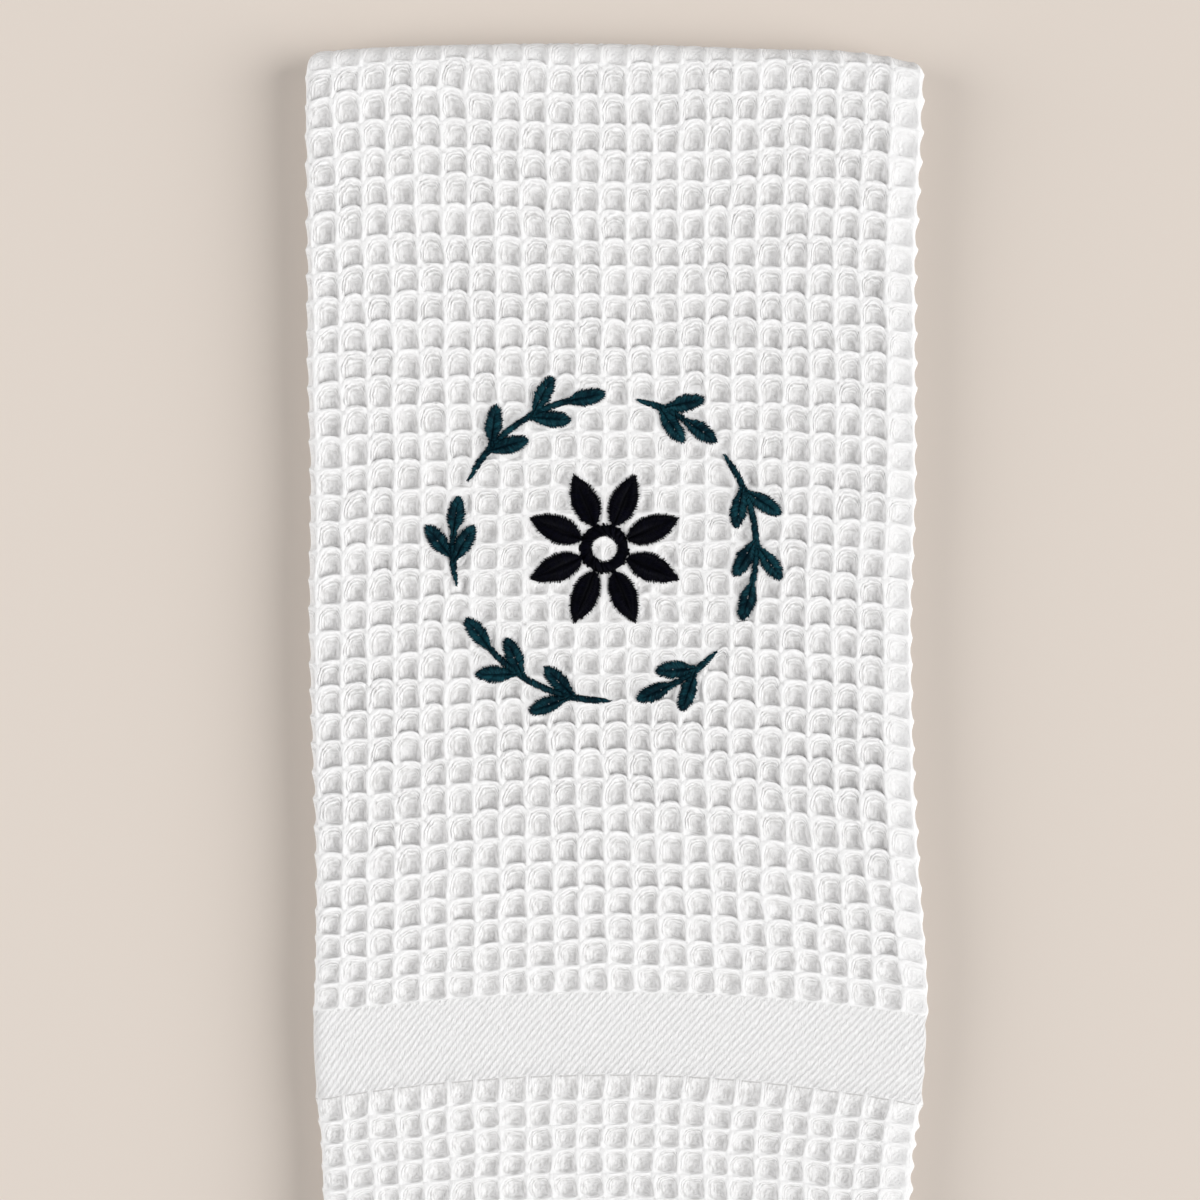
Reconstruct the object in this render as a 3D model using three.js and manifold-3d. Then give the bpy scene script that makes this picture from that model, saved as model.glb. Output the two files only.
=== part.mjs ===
// A waffle-weave kitchen towel with an embroidered wreath, folded in thirds along its length and then once
// across. Millimetres: +X across the towel, +Y towards the crosswise fold, +Z up from the table it lies on.

import * as THREE from 'three';
import Module from 'manifold-3d';
import { mergeVertices } from 'three/addons/utils/BufferGeometryUtils.js';

const wasm = await Module();
wasm.setup();

// Cloth and stack. A packet is three layers: the face outside, then the right flap, then the left flap.
const clothThickness = 1.7;
const layerGap = 0.5;
const layerPitch = clothThickness + layerGap;
const leftFlapHeight = (layerGap + clothThickness) / 2;
const rightFlapHeight = leftFlapHeight + layerPitch;
const faceHeight = rightFlapHeight + layerPitch;
const packetThickness = faceHeight + clothThickness / 2;

// The two lengthwise folds, measured on the outside of the cloth.
const leftFoldRadius = (faceHeight - leftFlapHeight + clothThickness) / 2;
const rightFoldRadius = (faceHeight - rightFlapHeight + clothThickness) / 2;

// Lengths along the towel from the axis of the crosswise fold.
const upperLength = 350;
const lowerLength = 344;
const hemWidth = 10;
const hemFullness = 0.22;
const lowerInset = 1.2;

// The flat woven band across the face, lower than the waffle ground round it.
const bandStart = 231;
const bandEnd = 252.5;
const bandRecess = 0.5;
const bandShoulder = 1.2;

// Free edges of the two flaps, measured in from the side folds that they stop short of.
const leftFlapShortfall = 4;
const rightFlapShortfall = 6;

// Steps of the mesh.
const layerSteps = 7;
const sideFoldSteps = 6;
const crossFoldSteps = 9;
const leafSteps = 5;
const stemSteps = 10;
const eyeSteps = 16;
const stationsAboveBand = 12;
const stationsOnBand = 2;
const stationsBelowBand = 5;
const lowerStations = 12;

// Side edges of the folded towel at distances from the axis of the crosswise fold.
const sideEdges = [
  { distance: 0, left: -76.9, right: 77.6 },
  { distance: 16, left: -77.0, right: 77.1 },
  { distance: 43, left: -76.6, right: 76.0 },
  { distance: 73, left: -76.6, right: 75.1 },
  { distance: 103, left: -75.6, right: 74.7 },
  { distance: 133, left: -75.9, right: 74.0 },
  { distance: 163, left: -75.3, right: 74.8 },
  { distance: 193, left: -74.4, right: 75.9 },
  { distance: 224, left: -74.2, right: 77.8 },
  { distance: 240, left: -74.6, right: 77.9 },
  { distance: 254, left: -74.1, right: 76.9 },
  { distance: 269, left: -72.8, right: 75.4 },
  { distance: 300, left: -72.2, right: 74.6 },
  { distance: 350, left: -73.2, right: 75.6 },
];

// How far the axis of the crosswise fold lies back from its highest point, across the towel.
const foldLine = [
  { across: -78, back: 2.6 },
  { across: -62, back: 1.3 },
  { across: -40, back: 0.5 },
  { across: -8, back: 0 },
  { across: 14, back: 0.6 },
  { across: 42, back: 1.9 },
  { across: 60, back: 3.4 },
  { across: 78, back: 5.6 },
];

// Height of the upper packet against its even thickness.
const fullness = [
  { distance: 0, share: 1.0 },
  { distance: 20, share: 1.03 },
  { distance: 90, share: 0.97 },
  { distance: 180, share: 1.02 },
  { distance: 260, share: 0.97 },
  { distance: 350, share: 1.0 },
];

// Embroidery: the wreath's centre from the axis of the crosswise fold, and the satin-stitched forms.
const wreathAcross = -2.4;
const wreathDistance = 121;
const wreathRadius = 37.7;
const stitchThickness = 0.8;
const stitchClearance = 0.3;
const stemWidth = 1.7;
const leafLength = 10.6;
const leafWidth = 4.2;
const leafNeck = 1.3;
const leafAngle = 34;
const petalCount = 8;
const petalLength = 14;
const petalWidth = 7.2;
const flowerRadius = 20;
const flowerEyeOuter = 6.4;
const flowerEyeInner = 3;

// The sprigs run clockwise round the wreath from the root to the point of the tip leaf, in degrees. Each pair
// of side leaves has one outside the stem and one inside it.
const sprigs = [
  { root: 154, point: 88, leafPairs: 2 },
  { root: 78, point: 42, leafPairs: 1 },
  { root: 38.5, point: -29, leafPairs: 2 },
  { root: -42, point: -79.5, leafPairs: 1 },
  { root: -87, point: -155, leafPairs: 2 },
  { root: -165.5, point: -201.5, leafPairs: 1 },
];

// Materials
const cotton = new THREE.MeshStandardMaterial({ color: 0xe9e8e6, roughness: 0.95, metalness: 0 });
const tealThread = new THREE.MeshStandardMaterial({ color: 0x083a47, roughness: 0.55, metalness: 0 });
const navyThread = new THREE.MeshStandardMaterial({ color: 0x0b0b14, roughness: 0.55, metalness: 0 });

// A smooth curve through the rows of a table, held level past its ends.
function curveAt(rows, key, value, at) {
  const last = rows.length - 1;
  const place = THREE.MathUtils.clamp(at, rows[0][key], rows[last][key]);
  let index = 0;
  while (index < last - 1 && place > rows[index + 1][key]) {
    index += 1;
  }
  const slope = (row) => {
    const before = rows[Math.max(row - 1, 0)];
    const after = rows[Math.min(row + 1, last)];
    return (after[value] - before[value]) / (after[key] - before[key]);
  };
  const span = rows[index + 1][key] - rows[index][key];
  const t = (place - rows[index][key]) / span;
  const rise = 3 * t * t - 2 * t * t * t;
  const lead = t * (1 - t) * (1 - t) * slope(index);
  const tail = t * t * (t - 1) * slope(index + 1);
  return THREE.MathUtils.lerp(rows[index][value], rows[index + 1][value], rise) + span * (lead + tail);
}

// The hem thickens the end of a packet of the given length.
function hemShare(distance, length) {
  return 1 + hemFullness * THREE.MathUtils.smoothstep(distance, length - hemWidth - 3, length - hemWidth + 1);
}

// Height of the plane where the two packets meet.
function meetingHeight(distance) {
  return packetThickness * hemShare(distance, lowerLength);
}

// Thickness of the upper packet against its even thickness.
function upperShare(distance) {
  return curveAt(fullness, 'distance', 'share', distance) * hemShare(distance, upperLength);
}

// Turns a place in the packet, height being its distance from the meeting plane, into a point of the towel.
function layPoint(station, across, height) {
  const axisY = -curveAt(foldLine, 'across', 'back', across);
  if (station.part === 'fold') {
    const y = axisY + height * Math.sin(station.angle);
    return new THREE.Vector3(across, y, packetThickness + height * Math.cos(station.angle));
  }
  const level = meetingHeight(station.distance);
  if (station.part === 'upper') {
    const z = level + height * upperShare(station.distance);
    return new THREE.Vector3(across, axisY - station.distance, z);
  }
  const z = level * (1 - height / packetThickness);
  return new THREE.Vector3(across, axisY - station.distance, z);
}

// Height of the towel's upper surface.
function surfaceHeight(across, y) {
  const distance = -curveAt(foldLine, 'across', 'back', across) - y;
  return meetingHeight(distance) + packetThickness * upperShare(distance);
}

// How far the cloth's outer side lies back from the waffle's ridges at a station.
function recessAt(station) {
  if (station.part !== 'upper') {
    return 0;
  }
  const entering = THREE.MathUtils.smoothstep(station.distance, bandStart - bandShoulder, bandStart);
  const leaving = THREE.MathUtils.smoothstep(station.distance, bandEnd, bandEnd + bandShoulder);
  return bandRecess * (entering - leaving);
}

// The stations of the sweep: up the upper packet, round the crosswise fold and back along the lower one.
function sweepStations() {
  const spaced = (from, to, count) => {
    const stops = [];
    for (let i = 1; i <= count; i += 1) {
      stops.push(THREE.MathUtils.lerp(from, to, i / count));
    }
    return stops;
  };
  const hemStops = (length) => [length - hemWidth + 1, length];
  const upperStops = [
    ...spaced(0, bandStart - bandShoulder, stationsAboveBand),
    bandStart,
    ...spaced(bandStart, bandEnd, stationsOnBand),
    bandEnd + bandShoulder,
    ...spaced(bandEnd + bandShoulder, upperLength - hemWidth - 3, stationsBelowBand),
    ...hemStops(upperLength),
  ];
  const lowerStops = [...spaced(0, lowerLength - hemWidth - 3, lowerStations), ...hemStops(lowerLength)];
  const upper = upperStops.map((distance) => ({ part: 'upper', distance }));
  const lower = lowerStops.map((distance) => ({ part: 'lower', distance }));
  const fold = [];
  for (let i = 0; i <= crossFoldSteps; i += 1) {
    fold.push({ part: 'fold', distance: 0, angle: (Math.PI * i) / crossFoldSteps });
  }
  return [...upper.reverse(), ...fold, ...lower];
}

// Side edges at a station. The lower packet lies a little inside the upper one.
function edgesAt(station) {
  const turned = { upper: 0, fold: (station.angle ?? 0) / Math.PI, lower: 1 }[station.part];
  const inset = lowerInset * turned;
  return {
    left: curveAt(sideEdges, 'distance', 'left', station.distance) + inset,
    right: curveAt(sideEdges, 'distance', 'right', station.distance) - inset,
  };
}

// The cloth's middle line across a packet, from the left flap's free edge round to the right flap's free
// edge. Each point holds the direction of the cloth's outer side.
function packetLine(left, right) {
  const line = [];
  const addLayer = (from, to, height, side) => {
    for (let i = 0; i <= layerSteps; i += 1) {
      line.push({ x: THREE.MathUtils.lerp(from, to, i / layerSteps), h: height, outX: 0, outH: side });
    }
  };
  const addFold = (centreX, centreH, radius, startAngle) => {
    for (let i = 1; i < sideFoldSteps; i += 1) {
      const angle = startAngle - (Math.PI * i) / sideFoldSteps;
      const outX = Math.cos(angle);
      const outH = Math.sin(angle);
      line.push({ x: centreX + radius * outX, h: centreH + radius * outH, outX, outH });
    }
  };
  const leftCentre = left + leftFoldRadius;
  const rightCentre = right - rightFoldRadius;
  addLayer(right - leftFlapShortfall, leftCentre, leftFlapHeight, -1);
  addFold(leftCentre, (leftFlapHeight + faceHeight) / 2, (faceHeight - leftFlapHeight) / 2, -Math.PI / 2);
  addLayer(leftCentre, rightCentre, faceHeight, 1);
  addFold(rightCentre, (rightFlapHeight + faceHeight) / 2, (faceHeight - rightFlapHeight) / 2, Math.PI / 2);
  addLayer(rightCentre, left + rightFlapShortfall, rightFlapHeight, -1);
  return line;
}

// The whole cloth: the packet's section swept along the stations as one closed solid.
function towelGeometry() {
  const positions = [];
  const triangles = [];
  const stations = sweepStations();
  let lineLength = 0;
  for (const station of stations) {
    const edges = edgesAt(station);
    const line = packetLine(edges.left, edges.right);
    lineLength = line.length;
    for (const offset of [clothThickness / 2 - recessAt(station), -clothThickness / 2]) {
      for (const place of line) {
        const point = layPoint(station, place.x + offset * place.outX, place.h + offset * place.outH);
        positions.push(point.x, point.y, point.z);
      }
    }
  }
  const ring = 2 * lineLength;
  const addQuad = (a, b, c, d) => triangles.push(a, b, c, a, c, d);
  for (let s = 0; s < stations.length - 1; s += 1) {
    const near = s * ring;
    const far = near + ring;
    for (let i = 0; i < lineLength - 1; i += 1) {
      const inner = i + lineLength;
      addQuad(near + i, near + i + 1, far + i + 1, far + i);
      addQuad(near + inner + 1, near + inner, far + inner, far + inner + 1);
    }
    const end = lineLength - 1;
    addQuad(near + lineLength, near, far, far + lineLength);
    addQuad(near + end, near + end + lineLength, far + end + lineLength, far + end);
  }
  const lastRing = (stations.length - 1) * ring;
  for (let i = 0; i < lineLength - 1; i += 1) {
    const inner = i + lineLength;
    addQuad(i + 1, i, inner, inner + 1);
    addQuad(lastRing + i, lastRing + i + 1, lastRing + inner + 1, lastRing + inner);
  }
  const geometry = new THREE.BufferGeometry();
  geometry.setAttribute('position', new THREE.Float32BufferAttribute(positions, 3));
  geometry.setIndex(triangles);
  return geometry;
}

// A geometry as a solid that can be joined.
function toSolid(geometry) {
  const bare = geometry.clone();
  bare.deleteAttribute('normal');
  bare.deleteAttribute('uv');
  const merged = mergeVertices(bare, 1e-4);
  return new wasm.Manifold(new wasm.Mesh({
    numProp: 3,
    vertProperties: new Float32Array(merged.attributes.position.array),
    triVerts: new Uint32Array(merged.index.array),
  }));
}

// Joined stitch forms, laid on the towel's upper surface with their centre at the wreath's centre.
function stitchGeometry(forms) {
  const joined = forms.map(toSolid).reduce((whole, form) => whole.add(form)).getMesh();
  const positions = Float32Array.from(joined.vertProperties);
  for (let i = 0; i < positions.length; i += 3) {
    positions[i] += wreathAcross;
    positions[i + 1] -= wreathDistance;
    positions[i + 2] += surfaceHeight(positions[i], positions[i + 1]) + stitchClearance;
  }
  const geometry = new THREE.BufferGeometry();
  geometry.setAttribute('position', new THREE.BufferAttribute(positions, 3));
  geometry.setIndex(Array.from(joined.triVerts));
  return geometry;
}

function extrudeStitches(shape, curveSegments) {
  return new THREE.ExtrudeGeometry(shape, { depth: stitchThickness, bevelEnabled: false, curveSegments });
}

// A shape as a stitched form, its base at the given point and its length along the given angle.
function placeForm(shape, baseX, baseY, angle) {
  const form = extrudeStitches(shape, leafSteps);
  form.rotateZ(angle);
  form.translate(baseX, baseY, 0);
  return form;
}

// A leaf with a narrow neck, widest past its middle and blunt at its tip.
function leafForm(baseX, baseY, angle) {
  const neck = leafNeck / 2;
  const half = leafWidth / 2;
  const widest = 0.62 * leafLength;
  const shape = new THREE.Shape();
  shape.moveTo(0, -neck);
  shape.bezierCurveTo(0.3 * leafLength, -neck, 0.36 * leafLength, -half, widest, -half);
  shape.bezierCurveTo(0.85 * leafLength, -half, leafLength, -0.5 * half, leafLength, 0);
  shape.bezierCurveTo(leafLength, 0.5 * half, 0.85 * leafLength, half, widest, half);
  shape.bezierCurveTo(0.36 * leafLength, half, 0.3 * leafLength, neck, 0, neck);
  return placeForm(shape, baseX, baseY, angle);
}

// A petal with pointed ends.
function petalForm(baseX, baseY, angle) {
  const belly = 0.66 * petalWidth;
  const shape = new THREE.Shape();
  shape.moveTo(0, 0);
  shape.bezierCurveTo(0.3 * petalLength, -belly, 0.75 * petalLength, -belly, petalLength, 0);
  shape.bezierCurveTo(0.75 * petalLength, belly, 0.3 * petalLength, belly, 0, 0);
  return placeForm(shape, baseX, baseY, angle);
}

// A sprig: a stem on the wreath's circle, side leaves that lean towards its tip, and a leaf at the tip that
// points a little outwards.
function sprigGeometry({ root, point, leafPairs }) {
  const bend = Math.asin(leafLength / (2 * wreathRadius));
  const rootAngle = THREE.MathUtils.degToRad(root);
  const tipAngle = THREE.MathUtils.degToRad(point) + 2 * bend;
  const stem = new THREE.Shape();
  stem.absarc(0, 0, wreathRadius + stemWidth / 2, rootAngle, tipAngle, true);
  stem.absarc(0, 0, wreathRadius - stemWidth / 2, tipAngle, rootAngle, false);
  const forms = [extrudeStitches(stem, stemSteps)];
  const lean = THREE.MathUtils.degToRad(leafAngle);
  for (let i = 0; i < leafPairs; i += 1) {
    for (const side of [1, -1]) {
      const share = (i + 0.72 + 0.05 * side) / (leafPairs + 0.45);
      const place = THREE.MathUtils.lerp(rootAngle, tipAngle, share);
      const baseX = wreathRadius * Math.cos(place);
      const baseY = wreathRadius * Math.sin(place);
      forms.push(leafForm(baseX, baseY, place - Math.PI / 2 + side * lean));
    }
  }
  const lastPlace = tipAngle + stemWidth / (2 * wreathRadius);
  const tipX = wreathRadius * Math.cos(lastPlace);
  const tipY = wreathRadius * Math.sin(lastPlace);
  forms.push(leafForm(tipX, tipY, lastPlace - Math.PI / 2 - bend / 2));
  return stitchGeometry(forms);
}

// The flower: petals round an open eye.
function flowerGeometry() {
  const eye = new THREE.Shape();
  eye.absarc(0, 0, flowerEyeOuter, 0, 2 * Math.PI, false);
  eye.holes.push(new THREE.Path().absarc(0, 0, flowerEyeInner, 0, 2 * Math.PI, true));
  const forms = [extrudeStitches(eye, eyeSteps)];
  const baseRadius = flowerRadius - petalLength;
  for (let i = 0; i < petalCount; i += 1) {
    const angle = (2 * Math.PI * (i + 0.5)) / petalCount;
    const baseX = baseRadius * Math.cos(angle);
    const baseY = baseRadius * Math.sin(angle);
    forms.push(petalForm(baseX, baseY, angle));
  }
  return stitchGeometry(forms);
}

function namedMesh(name, geometry, material) {
  geometry.computeVertexNormals();
  const mesh = new THREE.Mesh(geometry, material);
  mesh.name = name;
  return mesh;
}

const foldedTowel = new THREE.Group();
foldedTowel.add(namedMesh('towel', towelGeometry(), cotton));
sprigs.forEach((sprig, index) => {
  foldedTowel.add(namedMesh(`sprig_${index + 1}`, sprigGeometry(sprig), tealThread.clone()));
});
foldedTowel.add(namedMesh('flower', flowerGeometry(), navyThread));

// The origin is the bottom centre of the whole towel.
const extent = new THREE.Box3().setFromObject(foldedTowel);
const centre = extent.getCenter(new THREE.Vector3());
foldedTowel.position.set(-centre.x, -centre.y, 0);
foldedTowel.updateMatrixWorld(true);

export default foldedTowel;
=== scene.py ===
import math
from functools import partial, reduce
from types import SimpleNamespace

import bpy
import numpy as np
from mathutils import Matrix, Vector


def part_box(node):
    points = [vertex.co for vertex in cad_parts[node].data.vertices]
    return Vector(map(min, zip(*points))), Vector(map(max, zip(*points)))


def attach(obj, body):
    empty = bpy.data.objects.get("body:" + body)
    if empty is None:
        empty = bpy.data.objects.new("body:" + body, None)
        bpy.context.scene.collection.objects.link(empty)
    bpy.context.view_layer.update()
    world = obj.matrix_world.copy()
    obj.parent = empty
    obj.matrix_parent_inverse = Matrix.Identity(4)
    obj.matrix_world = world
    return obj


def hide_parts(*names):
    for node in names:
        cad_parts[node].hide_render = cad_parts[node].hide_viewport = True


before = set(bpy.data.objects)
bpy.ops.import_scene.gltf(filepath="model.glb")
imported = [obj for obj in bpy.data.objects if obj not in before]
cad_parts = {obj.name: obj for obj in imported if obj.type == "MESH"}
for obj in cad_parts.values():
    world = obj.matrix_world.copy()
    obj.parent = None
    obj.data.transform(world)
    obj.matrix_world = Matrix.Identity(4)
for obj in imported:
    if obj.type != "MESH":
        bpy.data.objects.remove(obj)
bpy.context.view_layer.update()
print("frame loaded")

# Lengths below are in millimetres unless a name says otherwise, and go to metres when a mesh is made.
millimetre = 0.001

# The folded cloth, in the sizes of its solid. A packet is the face, then the right flap, then the left.
cloth = {
    "thickness": 1.7,
    "layerPitch": 2.2,
    "innerLayer": 1.1,  # height of the left flap's middle above the plane where the packets meet
    "upperLength": 350.0,
    "lowerLength": 344.0,
    "lowerInset": 1.2,
    "hemWidth": 10.0,
    "hemFullness": 0.22,
    "reachRight": 78.0,  # the right side's furthest reach from the towel's middle line
}
rightFlapHeight = cloth["innerLayer"] + cloth["layerPitch"]
faceHeight = rightFlapHeight + cloth["layerPitch"]
halfCloth = cloth["thickness"] / 2
packetThickness = faceHeight + halfCloth
leftFoldRadius = (faceHeight - cloth["innerLayer"]) / 2 + halfCloth
rightFoldRadius = (faceHeight - rightFlapHeight) / 2 + halfCloth
crossFoldLength = math.pi * packetThickness

# Side edges of the folded towel at distances from the axis of the crosswise fold
sideEdges = {
    "distance": [0, 16, 43, 73, 103, 133, 163, 193, 224, 240, 254, 269, 300, 350],
    "left": [-77.1, -77.2, -77, -76.8, -76.1, -76.4, -75.8, -74.8, -74.8, -75.5, -74.7, -73.2, -72.6, -73.6],
    "right": [77.6, 77.1, 75.8, 75.7, 75.5, 74.5, 74.9, 76.3, 78.2, 78.3, 77.2, 75.0, 74.3, 75.3],
}
# How far the axis of the crosswise fold lies back from its highest point, across the towel
foldLine = {
    "across": [-78, -62, -40, -8, 14, 42, 60, 78],
    "back": [2.6, 1.2, 0.4, 0.1, 0.6, 1.5, 2.0, 5.0],
}
# Height of the upper packet against its even thickness
fullness = {
    "distance": [0, 20, 90, 180, 260, 350],
    "share": [1.0, 1.03, 0.97, 1.02, 0.97, 1.0],
}

# The waffle: a cell is one column by one row. Row 0 is the first ridge below the crosswise fold.
waffle = {
    "columnsOnFace": 22.57,
    "columnWidth": 6.47,
    "firstColumn": 0.133,  # the face's flat part starts this far into column 0
    "bandStart": 34.0,
    "bandEnd": 37.0,
    "upperEnd": 53.0,
    "lowerEnd": -53.0,
    "depth": 1.82,
    "crest": 0.95,
    "wallPower": 1.5,
    "ringPower": 3.2,  # how square the cells look, and how square their pits are
    "pitPower": 3.6,
    "cornerDrop": 0.55,
    "pitAcross": 0.64,  # the pit's deepest place in its cell, from the upper left ridges
    "pitDown": 0.66,
    "bandDepth": 0.5,
    "seed": 11,
}
# Distance of each row from the axis of the crosswise fold along the towel's middle, negative past it
rowPlaces = {
    "row": [-53, -1, 0, 4, 8, 11, 22, 26, 30, 34, 37, 41, 53],
    "distance": [-364, -5.6, 2.2, 31.2, 58.9, 78.9, 152.8, 178.6, 206.0, 231.0, 251.5, 275.9, 350],
}
# How far the rows' ends hang below their middles at both sides, and how the cells are shaped
rowShape = {
    "row": [-53, -2, 0, 4, 7, 11, 14, 20, 24, 28, 31, 34, 37, 40, 53],
    "bowLeft": [2.6, 1.4, 1.2, 1.2, 1.3, 1.9, 2.3, 3.2, 4.0, 5.2, 5.2, 4.6, 6.0, 5.0, 2.6],
    "bowRight": [5.2, 0.8, 0.6, 1.2, 2.0, 2.7, 3.1, 3.9, 5.0, 5.8, 5.5, 5.0, 6.8, 4.6, 5.2],
    "waveLeft": [0, 2.0, 2.4, 2.4, 1.4, 0.4, 0, 0, -0.5, -0.9, -0.7, -0.4, 0, -0.7, 0],
    "waveRight": [0, 1.6, 1.7, 1.9, 0.9, 0.8, 0.3, 0, 0, 0, 0, 0, 0, -0.7, 0],
    "arch": [0.4, 0.9, 1.15, 1.15, 1.15, 1.15, 1.15, 1.2, 1.3, 1.05, 0.8, 0.25, 0.15, 0.15, 0.4],
    "bulge": [0.2, 0.1, 0.1, 0.15, 0.2, 0.2, 0.2, 0.3, 0.6, 0.6, 0.6, 0.45, 0.4, 0.4, 0.2],
    "lean": [0.2, 0.3, 0.4, 0.4, 0.45, 0.45, 0.45, 0.45, 0.5, 0.45, 0.35, 0.1, 0, 0, 0.2],
}
# How far the columns are pulled over to the left, near the left side and near the right
columnPull = {
    "row": [-8, 0, 3, 6, 8, 11, 21, 25, 30, 33, 38, 53],
    "left": [0, 1.6, 1.1, 0.2, -0.3, -0.3, -0.2, 0.2, 1.0, 1.5, 1.5, 1.0],
    "right": [0, 1.8, 1.8, 1.8, 1.6, 1.3, 0.9, 1.3, 0.6, -0.2, 2.0, 2.0],
}
# Depth of the relief against its full depth: the fold stretches it out
rowRelief = {
    "row": [-53, -7, -4, -1, 0.3, 1.5, 24, 31, 37, 53],
    "share": [0.9, 0.8, 0.5, 0.5, 0.78, 1.0, 1.0, 0.86, 0.75, 0.82],
}


def smoothCurve(table, value, at):
    # a smooth curve through one column of a table over its first, held level past its ends
    keys = np.asarray(next(iter(table.values())), float)
    values = np.asarray(table[value], float)
    slopes = np.empty(len(keys))
    slopes[1:-1] = (values[2:] - values[:-2]) / (keys[2:] - keys[:-2])
    slopes[0] = (values[1] - values[0]) / (keys[1] - keys[0])
    slopes[-1] = (values[-1] - values[-2]) / (keys[-1] - keys[-2])
    at = np.clip(at, keys[0], keys[-1])
    index = np.clip(np.searchsorted(keys, at, side="right") - 1, 0, len(keys) - 2)
    span = keys[index + 1] - keys[index]
    t = (at - keys[index]) / span
    level = values[index] + (values[index + 1] - values[index]) * (3 * t**2 - 2 * t**3)
    lead = t * (1 - t) ** 2 * slopes[index]
    tail = t**2 * (t - 1) * slopes[index + 1]
    return level + span * (lead + tail)


def smoothStep(low, high, at):
    t = np.clip((at - low) / (high - low), 0, 1)
    return t * t * (3 - 2 * t)


# The towel's own sizes are measured from the fold's axis; these shifts place them in the frame.
_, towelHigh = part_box("towel")
shiftAcross = towelHigh.x / millimetre - cloth["reachRight"]
shiftAlong = towelHigh.y / millimetre - packetThickness


def hemShare(distance, length):
    start = length - cloth["hemWidth"] - 3
    return 1 + cloth["hemFullness"] * smoothStep(start, length - cloth["hemWidth"] + 1, distance)


def meetingHeight(distance):
    return packetThickness * hemShare(distance, cloth["lowerLength"])


def upperShare(distance):
    share = smoothCurve(fullness, "share", distance)
    return share * hemShare(distance, cloth["upperLength"])


def edgesAt(along):
    # side edges where the cloth's path from the fold's axis is along, negative past the axis
    turned = np.clip(-along / crossFoldLength, 0, 1)
    distance = np.where(along >= 0, along, np.maximum(-along - crossFoldLength, 0))
    inset = cloth["lowerInset"] * turned
    left = smoothCurve(sideEdges, "left", distance) + inset
    right = smoothCurve(sideEdges, "right", distance) - inset
    return left, right


def foldBack(across):
    return smoothCurve(foldLine, "back", across)


def rowAlong(u, v):
    # path of each place of the weave from the fold's axis, and its place across at the face's level
    middle = smoothCurve(rowPlaces, "distance", v)
    left, right = edgesAt(middle)
    share = (u - waffle["firstColumn"]) / waffle["columnsOnFace"]
    across = left + leftFoldRadius + share * (right - left - leftFoldRadius - rightFoldRadius)
    across = np.clip(across, left, right)
    # the flaps lie mirrored under the face, so their rows bow as the face's do
    across = np.where(share < -0.06, left - (across - left), across)
    side = np.clip(across / 72.0, -1.1, 1.1)
    bowLeft = smoothCurve(rowShape, "bowLeft", v)
    bowRight = smoothCurve(rowShape, "bowRight", v)
    bow = np.where(side < 0, bowLeft, bowRight) * side**2
    waveLeft = smoothCurve(rowShape, "waveLeft", v)
    waveRight = smoothCurve(rowShape, "waveRight", v)
    bow = bow - np.where(side < 0, waveLeft, waveRight) * 4 * side**2 * (1 - np.minimum(side**2, 1))
    free = 1 - smoothStep(waffle["upperEnd"] - 6, waffle["upperEnd"], np.abs(v))
    return middle + (bow - foldBack(across)) * free


def layCloth(u, v, lift, slide=0.0, alongExtra=0.0):
    # the folded place of a point of the weave, lift above the cloth's middle and slide across it
    along = rowAlong(u, v) + alongExtra
    left, right = edgesAt(along)
    flat = right - left - leftFoldRadius - rightFoldRadius
    share = (u - waffle["firstColumn"]) / waffle["columnsOnFace"]
    rightward = np.clip(share, 0, 1)
    pullLeft = smoothCurve(columnPull, "left", v)
    pullRight = smoothCurve(columnPull, "right", v)
    onFace = share * flat + slide - pullLeft * (1 - rightward) - pullRight * rightward**2
    leftTurn = math.pi * leftFoldRadius
    rightTurn = math.pi * rightFoldRadius
    leftAngle = np.clip(-onFace / leftFoldRadius, 0, math.pi)
    rightAngle = np.clip((onFace - flat) / rightFoldRadius, 0, math.pi)
    beyondLeft = np.maximum(-onFace - leftTurn, 0)
    beyondRight = np.maximum(onFace - flat - rightTurn, 0)
    leftBend = leftFoldRadius - halfCloth + lift
    rightBend = rightFoldRadius - halfCloth + lift
    across = left + leftFoldRadius + np.clip(onFace, 0, flat)
    across = across - leftBend * np.sin(leftAngle) + beyondLeft
    across = across + rightBend * np.sin(rightAngle) - beyondRight
    height = faceHeight + lift
    height = height - leftBend * (1 - np.cos(leftAngle)) - rightBend * (1 - np.cos(rightAngle))
    axis = -foldBack(across)
    angle = np.clip(-along / packetThickness, 0, math.pi)
    distance = np.where(along >= 0, along, np.maximum(-along - crossFoldLength, 0))
    level = meetingHeight(distance)
    upperZ = level + height * upperShare(distance)
    lowerZ = level * (1 - height / packetThickness)
    foldZ = packetThickness + height * np.cos(angle)
    y = axis - distance + height * np.sin(angle)
    z = np.where(along >= 0, upperZ, np.where(-along >= crossFoldLength, lowerZ, foldZ))
    return np.stack([across + shiftAcross, y + shiftAlong, z], axis=-1)


def layOnFace(spot, lift):
    # a point above the face, from its place round the wreath's centre
    across, away = spot[..., 0] + stitching["across"], spot[..., 1] - stitching["distance"]
    distance = -foldBack(across) - away
    height = meetingHeight(distance) + (faceHeight + lift) * upperShare(distance)
    return np.stack([across + shiftAcross, away + shiftAlong, height], axis=-1)


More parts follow.
